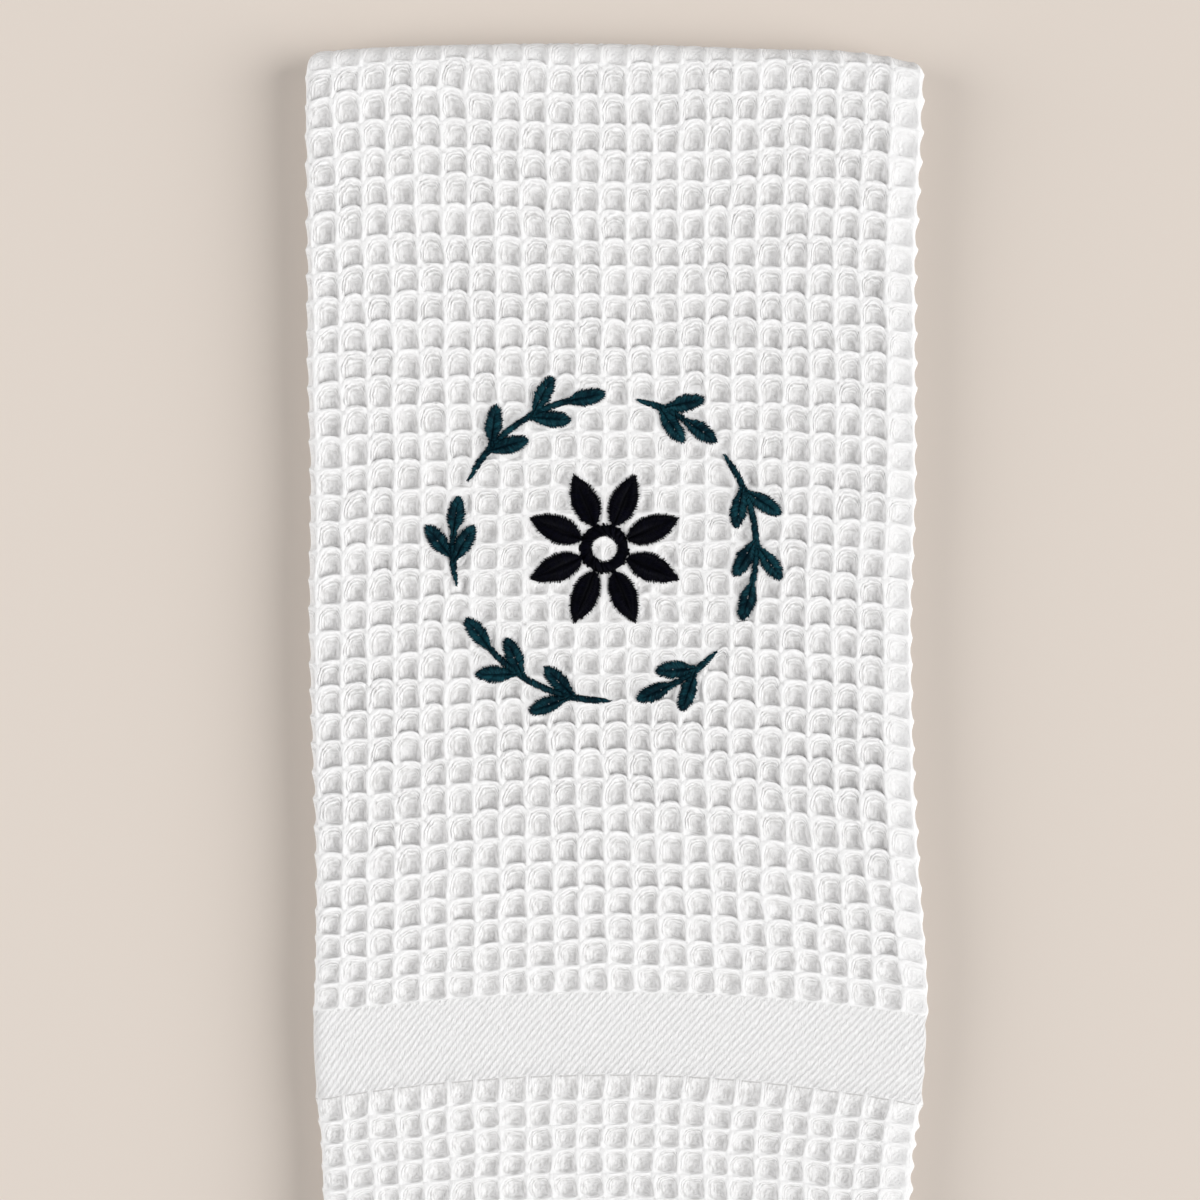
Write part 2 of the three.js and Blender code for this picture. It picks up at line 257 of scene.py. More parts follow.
# The wreath of leaves and the flower inside it, all in satin stitch
stitching = {
    "across": -2.4,  # the wreath's centre
    "distance": 121.0,
    "radius": 37.7,
    "stemWidth": 1.7,
    "stemTaper": 0.6,
    "firstPair": 0.72,  # the leaf pairs' places along a stem, against the pairs' pitch
    "pairStagger": 0.05,
    "pastLastPair": 0.45,
    "leafLength": 10.8,
    "leafWidth": 4.35,
    "leafNeck": 1.3,
    "leafWidest": 0.52,
    "leafAngle": 34.0,
    "petals": 8,
    "petalLength": 14.0,
    "petalWidth": 7.2,
    "flowerRadius": 20.0,
    "eyeOuter": 6.4,
    "eyeInner": 3.0,
    "threadWidth": 0.46,
    "threadPitch": 0.32,
    "threadHeight": 0.10,
    "pairing": 0.62,
    "edgeLift": 0.72,  # a stitch's ends and its top above the cloth's middle
    "topLift": 1.65,
    "moundSink": 0.25,  # the mound under the stitches
    "moundHeight": 0.75,
    "veinDip": 0.12,
    "ragged": 0.4,
    "stemSlant": 2.2,
    "seed": 5,
}
# Sprigs run clockwise round the wreath from the root to the tip leaf's point, in degrees.
sprigs = {
    "root": [154, 78, 38.5, -42, -87, -165.5],
    "point": [88, 42, -29, -79.5, -155, -201.5],
    "leafPairs": [2, 1, 2, 1, 2, 1],
}
threadChance = np.random.default_rng(stitching["seed"])


def veinedForm(length, base, angle, half):
    # a leaf or petal: its middle line in even steps from its base, and its half width at each step
    steps = np.linspace(0, length, len(half))
    middle = np.stack([base[0] + steps * math.cos(angle), base[1] + steps * math.sin(angle)], axis=-1)
    return {"middle": middle, "half": half, "veined": True, "rise": 1.0}


def leafForm(base, angle):
    share = np.linspace(0, 1, 34)
    neck = stitching["leafNeck"] / stitching["leafWidth"]
    widest = stitching["leafWidest"]
    end = np.clip((share - widest) / (1 - widest), 0, 1)
    half = (neck + (1 - neck) * smoothStep(0.05, widest, share)) * (1 - end**2.2) ** 0.58
    return veinedForm(stitching["leafLength"], base, angle, half * stitching["leafWidth"] / 2)


def petalForm(base, angle):
    share = np.linspace(0, 1, 34)
    half = np.sin(math.pi * share**0.85) ** 0.8
    return veinedForm(stitching["petalLength"], base, angle, half * stitching["petalWidth"] / 2)


def arcForm(radius, start, end, width, taper=0.0):
    # a stem or ring along a circle round the wreath's centre, narrower at its start if it tapers
    steps = np.linspace(start, end, max(8, int(abs(end - start) * radius)))
    middle = radius * np.stack([np.cos(steps), np.sin(steps)], axis=-1)
    half = width / 2 * (1 - taper * (1 - smoothStep(0, 5, np.abs(steps - start) * radius)))
    return {"middle": middle, "half": half, "veined": False, "rise": 0.75}


def sprigForms(root, point, leafPairs):
    radius = stitching["radius"]
    bend = math.asin(stitching["leafLength"] / (2 * radius))
    rootAngle = math.radians(root)
    tipAngle = math.radians(point) + 2 * bend
    lean = math.radians(stitching["leafAngle"])
    forms = [arcForm(radius, rootAngle, tipAngle, stitching["stemWidth"], stitching["stemTaper"])]
    for pair in range(leafPairs):
        for side in (1, -1):
            share = pair + stitching["firstPair"] + stitching["pairStagger"] * side
            share = share / (leafPairs + stitching["pastLastPair"])
            place = rootAngle + (tipAngle - rootAngle) * share
            base = (radius * math.cos(place), radius * math.sin(place))
            forms.append(leafForm(base, place - math.pi / 2 + side * lean))
    lastPlace = tipAngle + stitching["stemWidth"] / (2 * radius)
    base = (radius * math.cos(lastPlace), radius * math.sin(lastPlace))
    forms.append(leafForm(base, lastPlace - math.pi / 2 - bend / 2))
    return forms


def flowerForms():
    ringRadius = (stitching["eyeOuter"] + stitching["eyeInner"]) / 2
    ringWidth = stitching["eyeOuter"] - stitching["eyeInner"]
    forms = []
    baseRadius = stitching["flowerRadius"] - stitching["petalLength"]
    for i in range(stitching["petals"]):
        angle = 2 * math.pi * (i + 0.5) / stitching["petals"]
        base = (baseRadius * math.cos(angle), baseRadius * math.sin(angle))
        forms.append(petalForm(base, angle))
    forms.append(arcForm(ringRadius, 0, 2 * math.pi, ringWidth))
    return forms


sprigPieces = [sprigForms(*row) for row in zip(*sprigs.values())]
flowerPiece = flowerForms()


def formTurn(form):
    # unit vectors to the left of the form's middle line
    along = np.gradient(form["middle"], axis=0)
    along /= np.linalg.norm(along, axis=1)[:, None]
    return np.stack([-along[:, 1], along[:, 0]], axis=-1)


def stitchDistance(across, away):
    # distance of places on the face from the nearest stitched form, negative inside one
    x, y = across - stitching["across"], away + stitching["distance"]
    nearest = np.full(across.shape, 99.0)
    close = np.hypot(x, y) < stitching["radius"] + 16
    x, y = x[close], y[close]
    best = np.full(x.shape, 99.0)
    for form in sum(sprigPieces, []) + flowerPiece:
        middle = form["middle"]
        reach = np.linalg.norm(middle - middle.mean(axis=0), axis=1).max() + 8
        inside = np.hypot(x - middle[:, 0].mean(), y - middle[:, 1].mean()) < reach
        for (middleX, middleY), half in zip(middle, form["half"]):
            apart = np.hypot(x[inside] - middleX, y[inside] - middleY) - half
            best[inside] = np.minimum(best[inside], apart)
    nearest[close] = best
    return nearest


# Camera: straight above the middle of the picture, which takes in 297.6 mm at the towel's face
cameraSetup = {
    "pictureSide": 1200,
    "millimetresPerPixel": 0.248,
    "towelMiddlePixel": 614,  # where the towel's middle line stands across the picture
    "foldAxisPixel": 60.7,  # where the axis of the crosswise fold would stand, seen at the face's level
    "height": 360.0,
    "sensor": 36.0,
}


def makeCamera():
    pixel = cameraSetup["millimetresPerPixel"]
    half = cameraSetup["pictureSide"] / 2
    faceLevel = 2 * packetThickness
    x = (half - cameraSetup["towelMiddlePixel"]) * pixel + shiftAcross
    y = shiftAlong - (half - cameraSetup["foldAxisPixel"]) * pixel
    data = bpy.data.cameras.new("camera")
    data.sensor_width = cameraSetup["sensor"]
    data.lens = cameraSetup["sensor"] * cameraSetup["height"] / (2 * half * pixel)
    data.clip_start, data.clip_end = 0.01, 10
    camera = bpy.data.objects.new("camera", data)
    camera.location = (x * millimetre, y * millimetre, (faceLevel + cameraSetup["height"]) * millimetre)
    bpy.context.collection.objects.link(camera)
    bpy.context.scene.camera = camera


def meshObject(name, points, faces, material):
    # points in millimetres, faces as an array of corner numbers
    faces = np.asarray(faces)
    mesh = bpy.data.meshes.new(name)
    mesh.vertices.add(len(points))
    mesh.vertices.foreach_set("co", (np.asarray(points, float) * millimetre).ravel())
    mesh.loops.add(faces.size)
    mesh.loops.foreach_set("vertex_index", faces.ravel().astype(np.int32))
    mesh.polygons.add(len(faces))
    mesh.polygons.foreach_set("loop_start", np.arange(0, faces.size, faces.shape[1], dtype=np.int32))
    mesh.update(calc_edges=True)
    mesh.polygons.foreach_set("use_smooth", np.full(len(faces), True))
    mesh.materials.append(material)
    mesh.validate()
    made = bpy.data.objects.new(name, mesh)
    bpy.context.collection.objects.link(made)
    return made


def addMap(mesh, name, perVertex):
    # a UV map from one pair of numbers for each vertex
    layer = mesh.uv_layers.new(name=name)
    corners = np.empty(len(mesh.loops), np.int32)
    mesh.loops.foreach_get("vertex_index", corners)
    layer.uv.foreach_set("vector", perVertex[corners].astype(np.float32).ravel())


# Short ways to add shader nodes. A wire is a node's output, and a sum of wires and numbers is a maths node
class Wire:
    def __init__(self, tree, socket):
        self.tree = tree
        self.socket = socket

    def __add__(self, other):
        return maths("ADD", self, other)

    def __mul__(self, other):
        return maths("MULTIPLY", self, other)

    def __sub__(self, other):
        return maths("SUBTRACT", self, other)

    def __rsub__(self, number):
        return maths("SUBTRACT", number, self)

    def __truediv__(self, other):
        return maths("DIVIDE", self, other)

    def __pow__(self, power):
        return maths("POWER", self, power)

    def __abs__(self):
        return maths("ABSOLUTE", self)


def plug(socket, value):
    if isinstance(value, Wire):
        value.tree.links.new(value.socket, socket)
    else:
        socket.default_value = (*value, 1) if isinstance(value, tuple) else value


def addNode(tree, kind, output, inputs=(), **settings):
    # a node with its settings, and its inputs by name or number; gives a wire from one output
    node = tree.nodes.new(kind)
    for name, value in settings.items():
        setattr(node, name, value)
    for key, value in dict(inputs).items():
        plug(node.inputs[key], value)
    return Wire(tree, node.outputs[output])


def maths(operation, *values, clamp=False):
    tree = next(value.tree for value in values if isinstance(value, Wire))
    return addNode(tree, "ShaderNodeMath", 0, enumerate(values), operation=operation, use_clamp=clamp)


def greatest(*values):
    return reduce(partial(maths, "MAXIMUM"), values)


def wave(kind, value, turns=1):
    # a sine or cosine with so many turns to each unit of the value
    return maths(kind, value * (2 * math.pi * turns))


def stepBetween(low, high, value):
    inputs = {"Value": value, "From Min": low, "From Max": high}
    return addNode(value.tree, "ShaderNodeMapRange", "Result", inputs, interpolation_type="SMOOTHSTEP")


def noise(vector, scale, detail=2.0, roughness=0.5):
    inputs = {"Vector": vector, "Scale": scale, "Detail": detail, "Roughness": roughness}
    return addNode(vector.tree, "ShaderNodeTexNoise", "Fac", inputs)


def splitVector(vector):
    node = vector.tree.nodes.new("ShaderNodeSeparateXYZ")
    plug(node.inputs[0], vector)
    return [Wire(vector.tree, output) for output in node.outputs]


def joinVector(x, y):
    return addNode(x.tree, "ShaderNodeCombineXYZ", 0, {"X": x, "Y": y})


def mapPlace(tree, name):
    # the two numbers of a UV map
    return splitVector(addNode(tree, "ShaderNodeUVMap", "UV", uv_map=name))[:2]


def mixNumber(factor, first, second):
    return addNode(factor.tree, "ShaderNodeMix", 0, {"Factor": factor, "A": first, "B": second})


def mixColour(factor, first, second):
    # the colour sockets of this node are numbers 6 and 7
    inputs = {"Factor": factor, 6: first, 7: second}
    return addNode(factor.tree, "ShaderNodeMix", 2, inputs, data_type="RGBA")


def newMaterial(name, evenSockets):
    material = bpy.data.materials.new(name)
    material.use_nodes = True
    tree = material.node_tree
    shader = tree.nodes["Principled BSDF"]
    for socket, value in evenSockets.items():
        plug(shader.inputs[socket], value)
    return material, tree, shader


def addBump(shader, height):
    # the height is in millimetres
    inputs = {"Distance": millimetre, "Strength": 1.0, "Height": height}
    plug(shader.inputs["Normal"], addNode(height.tree, "ShaderNodeBump", "Normal", inputs))


cottonLook = {
    "ridgeColour": (0.94, 0.934, 0.933),
    # the pits' grey is painted shade, a shaded copy of the ridges' white
    "pitShadeColour": (0.785, 0.776, 0.774),
    # painted shade in the gaps between yarns and fibres, in small holes and in the band's grooves
    "gapShadeColour": (0.44, 0.43, 0.42),
    "gapShadeDepth": 0.27,
    "surface": {"Roughness": 0.92, "Specular IOR Level": 0.2, "Sheen Weight": 0.1, "Sheen Roughness": 0.4},
    "yarnRings": 6.5,
    "topYarn": 0.35,  # half the width of the ridge's own yarn against the others' pitch
    "yarnWander": 1.4,
    "litYarnWhite": 2.0,
    "pitYarns": 4.5,
    "twillAcross": 6.47,
    "twillDown": 5.6,
    "twillPitch": 1.75,
    "yarnBump": 0.185,
    "plainBump": 0.06,
    "streakBump": 0.34,
    "twillBump": 0.23,
    "fibreBump": 0.14,
}


def fromPit(value, pit):
    # how far a point lies before its pit's middle, and how far from it: 0 there and 1 on the ridges
    inCell = maths("FRACT", value)
    before = (pit - inCell) / pit
    return before, greatest(before, (inCell - pit) / (1 - pit))


def weaveWires(tree):
    # what the cotton's patterns are drawn from: a point's place in the weave, in its cell and in the cloth
    weave = SimpleNamespace(place=addNode(tree, "ShaderNodeTexCoord", "Object"))
    weave.u, weave.v = mapPlace(tree, "weave")
    cell = joinVector(maths("FLOOR", weave.u), maths("FLOOR", weave.v))
    chances = addNode(tree, "ShaderNodeTexWhiteNoise", "Color", {"Vector": cell}, noise_dimensions="2D")
    weave.cellChance = addNode(tree, "ShaderNodeSeparateColor", "Green", {0: chances})
    # "stitched": how near the embroidery, how far pressed flat, and how much painted light whitens a fold
    stitched = addNode(tree, "ShaderNodeAttribute", "Vector", attribute_name="stitched")
    weave.beside, weave.pressed, weave.atSide = splitVector(stitched)
    # no ridge stands along the band's lower edge
    belowEdge = maths("GREATER_THAN", weave.v, waffle["bandEnd"])
    aboveRow = maths("LESS_THAN", weave.v, waffle["bandEnd"] + waffle["pitDown"])
    noRidge = 1 - belowEdge * aboveRow * 0.7
    weave.leftward, weave.acrossPit = fromPit(weave.u, waffle["pitAcross"])
    weave.upward, weave.downPit = (value * noRidge for value in fromPit(weave.v, waffle["pitDown"]))
    square = waffle["ringPower"]
    weave.ring = (weave.acrossPit**square + weave.downPit**square) ** (1 / square)
    weave.wander = noise(weave.place, 500)
    # the upper and left walls face the lamps, so their yarns get painted light and shade
    weave.loose = stepBetween(0.2, 0.6, greatest(weave.leftward, weave.upward))  # the upper and left walls
    weave.lowerPart = stepBetween(26, 31, weave.v)
    return weave


def ridgeYarns(weave):
    # the yarns that run round a cell's walls, a yarn's width apart below a broad one on the ridge's top
    phase = greatest((1 - weave.ring) * cottonLook["yarnRings"] - cottonLook["topYarn"], 0.0)
    phase = phase + (weave.wander - 0.5) * cottonLook["yarnWander"]
    yarn = wave("COSINE", phase) * 0.5 + 0.5
    # some cells show their yarns plainly and some hardly, and no yarn shows evenly along its length
    patchy = stepBetween(0.25, 0.55, noise(weave.place, 420))
    strength = (weave.cellChance * 0.75 + 0.5) * patchy * stepBetween(0.30, 0.80, weave.ring)
    # they show more on the upper and left walls, which face the lamps: painted light and shade there, with
    # more bump
    strength = strength * (weave.loose * 0.9 + 0.1)
    strength = strength * (1 - weave.beside * 0.7) * (1 - weave.atSide * 0.65)
    # hardly any show on the lower wall, which faces away from the lamps, and fewer in the towel's lower part
    strength = strength * stepBetween(-0.32, 0.02, weave.upward)
    return yarn, strength * (1 - weave.lowerPart * 0.35)


def drawnFibres(weave, acrossScale, downScale):
    # loose fibres drawn out along the yarns
    return noise(joinVector(weave.u * acrossScale, weave.v * downScale), 1.0)


def wallStreaks(weave):
    # fibres run across on a cell's upper and lower walls, and along on its side walls
    onSideWall = stepBetween(-0.5, 0.2, weave.acrossPit - weave.downPit)
    return mixNumber(onSideWall, drawnFibres(weave, 3.0, 9.0), drawnFibres(weave, 9.0, 3.0))


def bandTwill(weave):
    # where the band is, and its twill lines, rising to the right
    slope = weave.u * cottonLook["twillAcross"] + weave.v * cottonLook["twillDown"] + weave.wander * 0.9
    lines = wave("COSINE", slope, 1 / cottonLook["twillPitch"]) * 0.5 + 0.5
    grain = stepBetween(0.35, 0.65, drawnFibres(weave, 21.0, 6.0))
    below = stepBetween(waffle["bandStart"] - 0.02, waffle["bandStart"] + 0.06, weave.v)
    inBand = below * (1 - stepBetween(waffle["bandEnd"] - 0.06, waffle["bandEnd"], weave.v))
    return inBand, lines * 0.75 + grain * 0.45


def cottonHeight(weave):
    # the pit's plain weave has one yarn over and one under
    plain = wave("SINE", weave.u, cottonLook["pitYarns"]) * wave("SINE", weave.v, cottonLook["pitYarns"])
    plain = plain * (1 - stepBetween(0.3, 0.6, weave.ring))
    height = weave.yarn * weave.strength * cottonLook["yarnBump"] + plain * cottonLook["plainBump"]
    height = height + weave.streak * cottonLook["streakBump"]
    height = mixNumber(weave.inBand, height, weave.twill * cottonLook["twillBump"])
    return height + noise(weave.place, 4200, 3.0, 0.6) * cottonLook["fibreBump"]


def cottonColour(weave):
    # white ridges and yarns over a greyer ground of painted shade, where less light gets between the fibres
    # painted light: a ridge's white goes further down its lower and right sides, the next cell's upper and
    # left walls, which face the lamps
    onRidge = stepBetween(0.87, 1.0, weave.ring + weave.loose * 0.12)
    onRidge = greatest(onRidge, weave.inBand, weave.atSide, weave.beside * 0.9, weave.pressed * 0.03)
    # painted light: yarns show white mostly on the walls that face the lamps
    litYarnWhite = weave.yarn**1.2 * (weave.strength * cottonLook["litYarnWhite"])
    tufts = stepBetween(0.5, 0.72, weave.streak) * 0.45
    # painted light: the left walls face the right lamp and are painted whiter, more in the towel's lower part
    litLeftWall = stepBetween(0.1, 0.55, weave.leftward) * (weave.lowerPart * 0.35 + 0.3)
    whiteness = maths("MAXIMUM", onRidge, greatest(litYarnWhite, tufts, litLeftWall), clamp=True)
    colour = mixColour(whiteness, cottonLook["pitShadeColour"], cottonLook["ridgeColour"])
    # painted shade between loose fibres, least on the ridges, and in the band's grooves
    between = (1 - stepBetween(0.32, 0.60, weave.streak)) * (1.15 - onRidge)
    bandGrooves = (1 - weave.twill) * (weave.inBand * 0.7)
    colour = mixColour((between + bandGrooves) * 0.4, colour, cottonLook["gapShadeColour"])
    # where floats cross near a pit's corners small holes show, painted as shade
    nearCorner = greatest(1 - abs(weave.acrossPit - weave.downPit) / 0.14, 0.0)
    groove = 1 - weave.yarn
    holes = groove * nearCorner * (weave.strength * 0.5)
    # painted shade in the grooves between yarns, deepest where the yarns show most
    gaps = groove**1.3 * weave.strength * cottonLook["gapShadeDepth"] + holes
    gaps = maths("MULTIPLY", gaps, 1 - weave.inBand, clamp=True)
    colour = mixColour(gaps, colour, cottonLook["gapShadeColour"])
    # the band is a little greyer, with a painted shadow between the ridges along its lower edge
    atEdge = 1 - abs(weave.v - (waffle["bandEnd"] + 0.03)) * 20.0
    bandEdgeShadow = maths("MULTIPLY", atEdge, 1 - stepBetween(0.55, 0.8, weave.acrossPit), clamp=True)
    return mixColour(greatest(bandEdgeShadow * 0.75, weave.inBand * 0.06), colour, cottonLook["gapShadeColour"])


def makeCotton():
    material, tree, shader = newMaterial("waffleCotton", cottonLook["surface"])
    weave = weaveWires(tree)
    weave.yarn, weave.strength = ridgeYarns(weave)
    weave.streak = wallStreaks(weave)
    weave.inBand, weave.twill = bandTwill(weave)
    addBump(shader, cottonHeight(weave))
    plug(shader.inputs["Base Color"], cottonColour(weave))
    return material


threadLook = {
    # dark and light thread tones, mixed by random tone and by the painted sheen
    "leafDark": (0.0005, 0.0092, 0.016),
    "leafLight": (0.0085, 0.060, 0.079),
    "flowerDark": (0.0005, 0.0005, 0.0018),
    "flowerLight": (0.0016, 0.0016, 0.006),
    "hemDark": (0.80, 0.795, 0.79),
    "hemLight": (0.93, 0.927, 0.922),
    "bareShare": 0.03,
    "bareReach": 0.12,
    "surface": {"Roughness": 0.5, "Specular IOR Level": 0.04},
    "twist": 2.4,
    "twistBump": 0.05,
    "fibreBump": 0.08,
}


def makeThread(name, dark, light, bareShare=0.0):
    # "thread" map: the share along a stitch, and its number with its share across
    material, tree, shader = newMaterial(name, threadLook["surface"])
    along, number = mapPlace(tree, "thread")
    one = {"W": maths("FLOOR", number)}
    chance = addNode(tree, "ShaderNodeTexWhiteNoise", "Value", one, noise_dimensions="1D")
    place = addNode(tree, "ShaderNodeTexCoord", "Object")
    fine = noise(place, 2600, 3.0, 0.6)
    # painted sheen: a stitch is painted lighter along its middle and darker at both ends
    paintedSheen = along * (1 - along) * 4.0
    tone = noise(place, 260) * 0.5 + chance * 0.22 + paintedSheen * 0.25 + fine * 0.35
    colour = mixColour(stepBetween(0.58, 1.06, tone), dark, light)
    # here and there the cloth shows between two stitches at the vein, in the pits' painted shade colour
    bare = maths("LESS_THAN", chance, bareShare) * maths("LESS_THAN", along, threadLook["bareReach"])
    colour = mixColour(bare * 0.45, colour, cottonLook["pitShadeColour"])
    plug(shader.inputs["Base Color"], colour)
    ply = wave("SINE", along * threadLook["twist"] + number)
    addBump(shader, ply * threadLook["twistBump"] + fine * threadLook["fibreBump"])
    return material


def pointAt(steps, keys, points):
    return np.stack([np.interp(steps, keys, points[:, 0]), np.interp(steps, keys, points[:, 1])], axis=-1)


def satinThreads(form):
    # stitches of one form: both ends, the lifts of the start, top and end, and the width
    pitch, rise = stitching["threadPitch"], stitching["topLift"] - stitching["edgeLift"]
    middle, half, left = form["middle"], form["half"], formTurn(form)
    low = stitching["edgeLift"]
    top = low + rise * form["rise"]
    steps = np.arange(len(half))
    threads = []
    for side in (1, -1):
        edge = middle + side * left * half[:, None]
        way = np.concatenate([[0], np.cumsum(np.linalg.norm(np.diff(edge, axis=0), axis=1))])
        count = max(4, int(way[-1] / pitch))
        number = np.arange(count)
        # two stitches share each needle hole, which makes the edge's teeth
        paired = number + stitching["pairing"] * ((number // 2) * 2 + 0.5 - number)
        at = np.clip((paired + 0.5) / count * way[-1] + threadChance.normal(0, 0.05, count), 0, way[-1])
        outer = pointAt(at, way, edge)
        share = (number + 0.5) / count
        if form["veined"]:
            reach = (len(half) - 1) * (1 - 0.8 * half.max() / np.linalg.norm(middle[-1] - middle[0]))
            inner = pointAt(share * reach, steps, middle)
            startLift = low + 0.5 * rise
        else:
            other = middle - side * left * half[:, None]
            onward = stitching["stemSlant"] * (len(half) - 1) / way[-1]
            inStep = share * (len(half) - 1) + onward * threadChance.uniform(0.4, 1, count)
            inner = pointAt(np.clip(inStep, 0, len(half) - 1), steps, other)
            startLift = low
        towards = outer - inner
        towards /= np.maximum(np.linalg.norm(towards, axis=1), 0.01)[:, None]
        ragged = stitching["ragged"] * (1.0 if form["veined"] else 0.6)
        outer = outer + towards * threadChance.uniform(-1, 1, count)[:, None] * ragged
        inner = inner + towards * threadChance.uniform(-0.1, 0.1, count)[:, None]
        tops = top + threadChance.uniform(-0.05, 0.05, count)
        widths = stitching["threadWidth"] * threadChance.uniform(0.85, 1.15, count)
        starts, ends = np.full(count, startLift), np.full(count, low)
        threads.append(np.column_stack([inner, outer, starts, tops, ends, widths]))
        if not form["veined"]:
            break
    return np.concatenate(threads)


# Each stitch is a rounded strip, with a row of points across it at each station along it
stitchStations = np.array([0, 0.2, 0.5, 0.8, 1])
stitchOffsets = np.array([-0.5, -0.26, 0.26, 0.5])


def gridFaces(rows, columns, start=0):
    corner = start + np.arange((rows - 1) * columns).reshape(rows - 1, columns)[:, :-1].ravel()
    return np.stack([corner, corner + 1, corner + columns + 1, corner + columns], axis=-1)


def stitchFaces(count):
    rows, columns = len(stitchStations), len(stitchOffsets)
    first = rows * columns * np.arange(count)
    return (gridFaces(rows, columns)[None] + first[:, None, None]).reshape(-1, 4)


def threadMesh(threads):
    start, end = threads[:, 0:2], threads[:, 2:4]
    span = end - start
    length = np.maximum(np.linalg.norm(span, axis=1), 0.05)
    left = np.stack([-span[:, 1], span[:, 0]], axis=-1) / length[:, None]
    stations, offsets = stitchStations, stitchOffsets
    narrow = np.array([0.6, 1, 1, 0.95, 0.25])
    crown = np.array([0, 1, 1, 0]) * stitching["threadHeight"]
    spot = start[:, None, :] + span[:, None, :] * stations[None, :, None]
    width = threads[:, 7][:, None] * narrow[None, :]
    spot = spot[:, :, None, :] + left[:, None, None, :] * (width[:, :, None] * offsets)[..., None]
    ends = threads[:, 4][:, None] + (threads[:, 6] - threads[:, 4])[:, None] * stations
    dome = (4 * stations * (1 - stations)) ** 0.7
    lift = ends + (threads[:, 5] - (threads[:, 4] + threads[:, 6]) / 2)[:, None] * dome
    lift = lift[:, :, None] + crown
    points = layOnFace(spot, lift)
    count = len(threads)
    number = np.arange(count)[:, None, None] + 0.02 + 0.96 * (offsets + 0.5)[None, None, :]
    number = number + threadChance.integers(0, 900)
    along = np.broadcast_to(stations, (count, len(stations)))[:, :, None]
    lay = np.stack(np.broadcast_arrays(along, number), axis=-1)
    return points.reshape(-1, 3), stitchFaces(count)[:, ::-1], lay.reshape(-1, 2)


def underlay(form):
    # a low mound under the stitches that closes the gaps between them
    shares = np.array([-1, -0.6, 0, 0.6, 1])
    half = np.maximum(form["half"] - 0.2, 0.02)
    spot = form["middle"][:, None, :] + formTurn(form)[:, None, :] * (half[:, None] * shares)[..., None]
    rise = (stitching["topLift"] - stitching["edgeLift"]) * form["rise"]
    lift = stitching["edgeLift"] - stitching["moundSink"] + rise * stitching["moundHeight"] * (1 - shares**2)
    if form["veined"]:
        lift = lift - stitching["veinDip"] * (1 - np.abs(shares)) ** 2
    lift = np.broadcast_to(lift, spot.shape[:2])
    points = layOnFace(spot, lift).reshape(-1, 3)
    return points, gridFaces(len(half), len(shares)), np.full((len(points), 2), 0.5)


def threadPiece(name, parts, material):
    # one object from several runs of stitches, each with its points, its faces and its thread map
    points, faces, lays = zip(*parts)
    starts = np.cumsum([0] + [len(run) for run in points])
    faces = [run + start for run, start in zip(faces, starts)]
    piece = meshObject(name, np.concatenate(points), np.concatenate(faces), material)
    addMap(piece.data, "thread", np.concatenate(lays))
    return piece


def makeStitches(name, forms, material, node):
    parts = [threadMesh(satinThreads(form)) for form in forms] + [underlay(form) for form in forms]
    piece = threadPiece(name, parts, material)
    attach(piece, "root")
    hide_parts(node)
    return piece


# How finely the cloth is meshed: places of the lines in a cell for each part of the cloth
clothLines = {
    "fine": [0, 0.07, 0.17, 0.33, 0.53, 0.71, 0.84, 0.94],
    "middling": [0, 0.12, 0.35, 0.68, 0.88],
    "coarse": [0, 0.3, 0.72],
    "foldLines": [22.86, 23.15, 23.45, 23.6, 24],
    "leftCut": -2,
    "rightCut": 24,
    "underCut": -4,
    "fineEnd": 42,
    "leftFree": -23.6,
    "rightFree": 45.76,
    "foldSteps": 5,
}


def cellLines(start, end, places):
    return [cell + place for cell in range(int(start), int(end)) for place in places]


# Small random shifts of the ridges' crossings, and each cell's own depth and arch
cellChance = np.random.default_rng(waffle["seed"])
cellCount = (120, 90)
jitter = {
    "across": cellChance.normal(0, 0.22, cellCount),
    "along": cellChance.normal(0, 0.26, cellCount),
    "depth": cellChance.uniform(0.82, 1.12, cellCount),
    "arch": cellChance.uniform(0.25, 1.45, cellCount),
    "columnOrigin": 30,
    "rowOrigin": 58,
}


def cellAt(u, v):
    return np.floor(v).astype(int) + jitter["rowOrigin"], np.floor(u).astype(int) + jitter["columnOrigin"]


def cellValue(name, u, v):
    return jitter[name][cellAt(u, v)]


def jitterAt(name, u, v):
    # a crossing's shift, carried smoothly over the cells round it
    a, b = smoothStep(0, 1, u - np.floor(u)), smoothStep(0, 1, v - np.floor(v))
    upper = cellValue(name, u, v) * (1 - a) + cellValue(name, u + 1, v) * a
    lower = cellValue(name, u, v + 1) * (1 - a) + cellValue(name, u + 1, v + 1) * a
    return upper * (1 - b) + lower * b


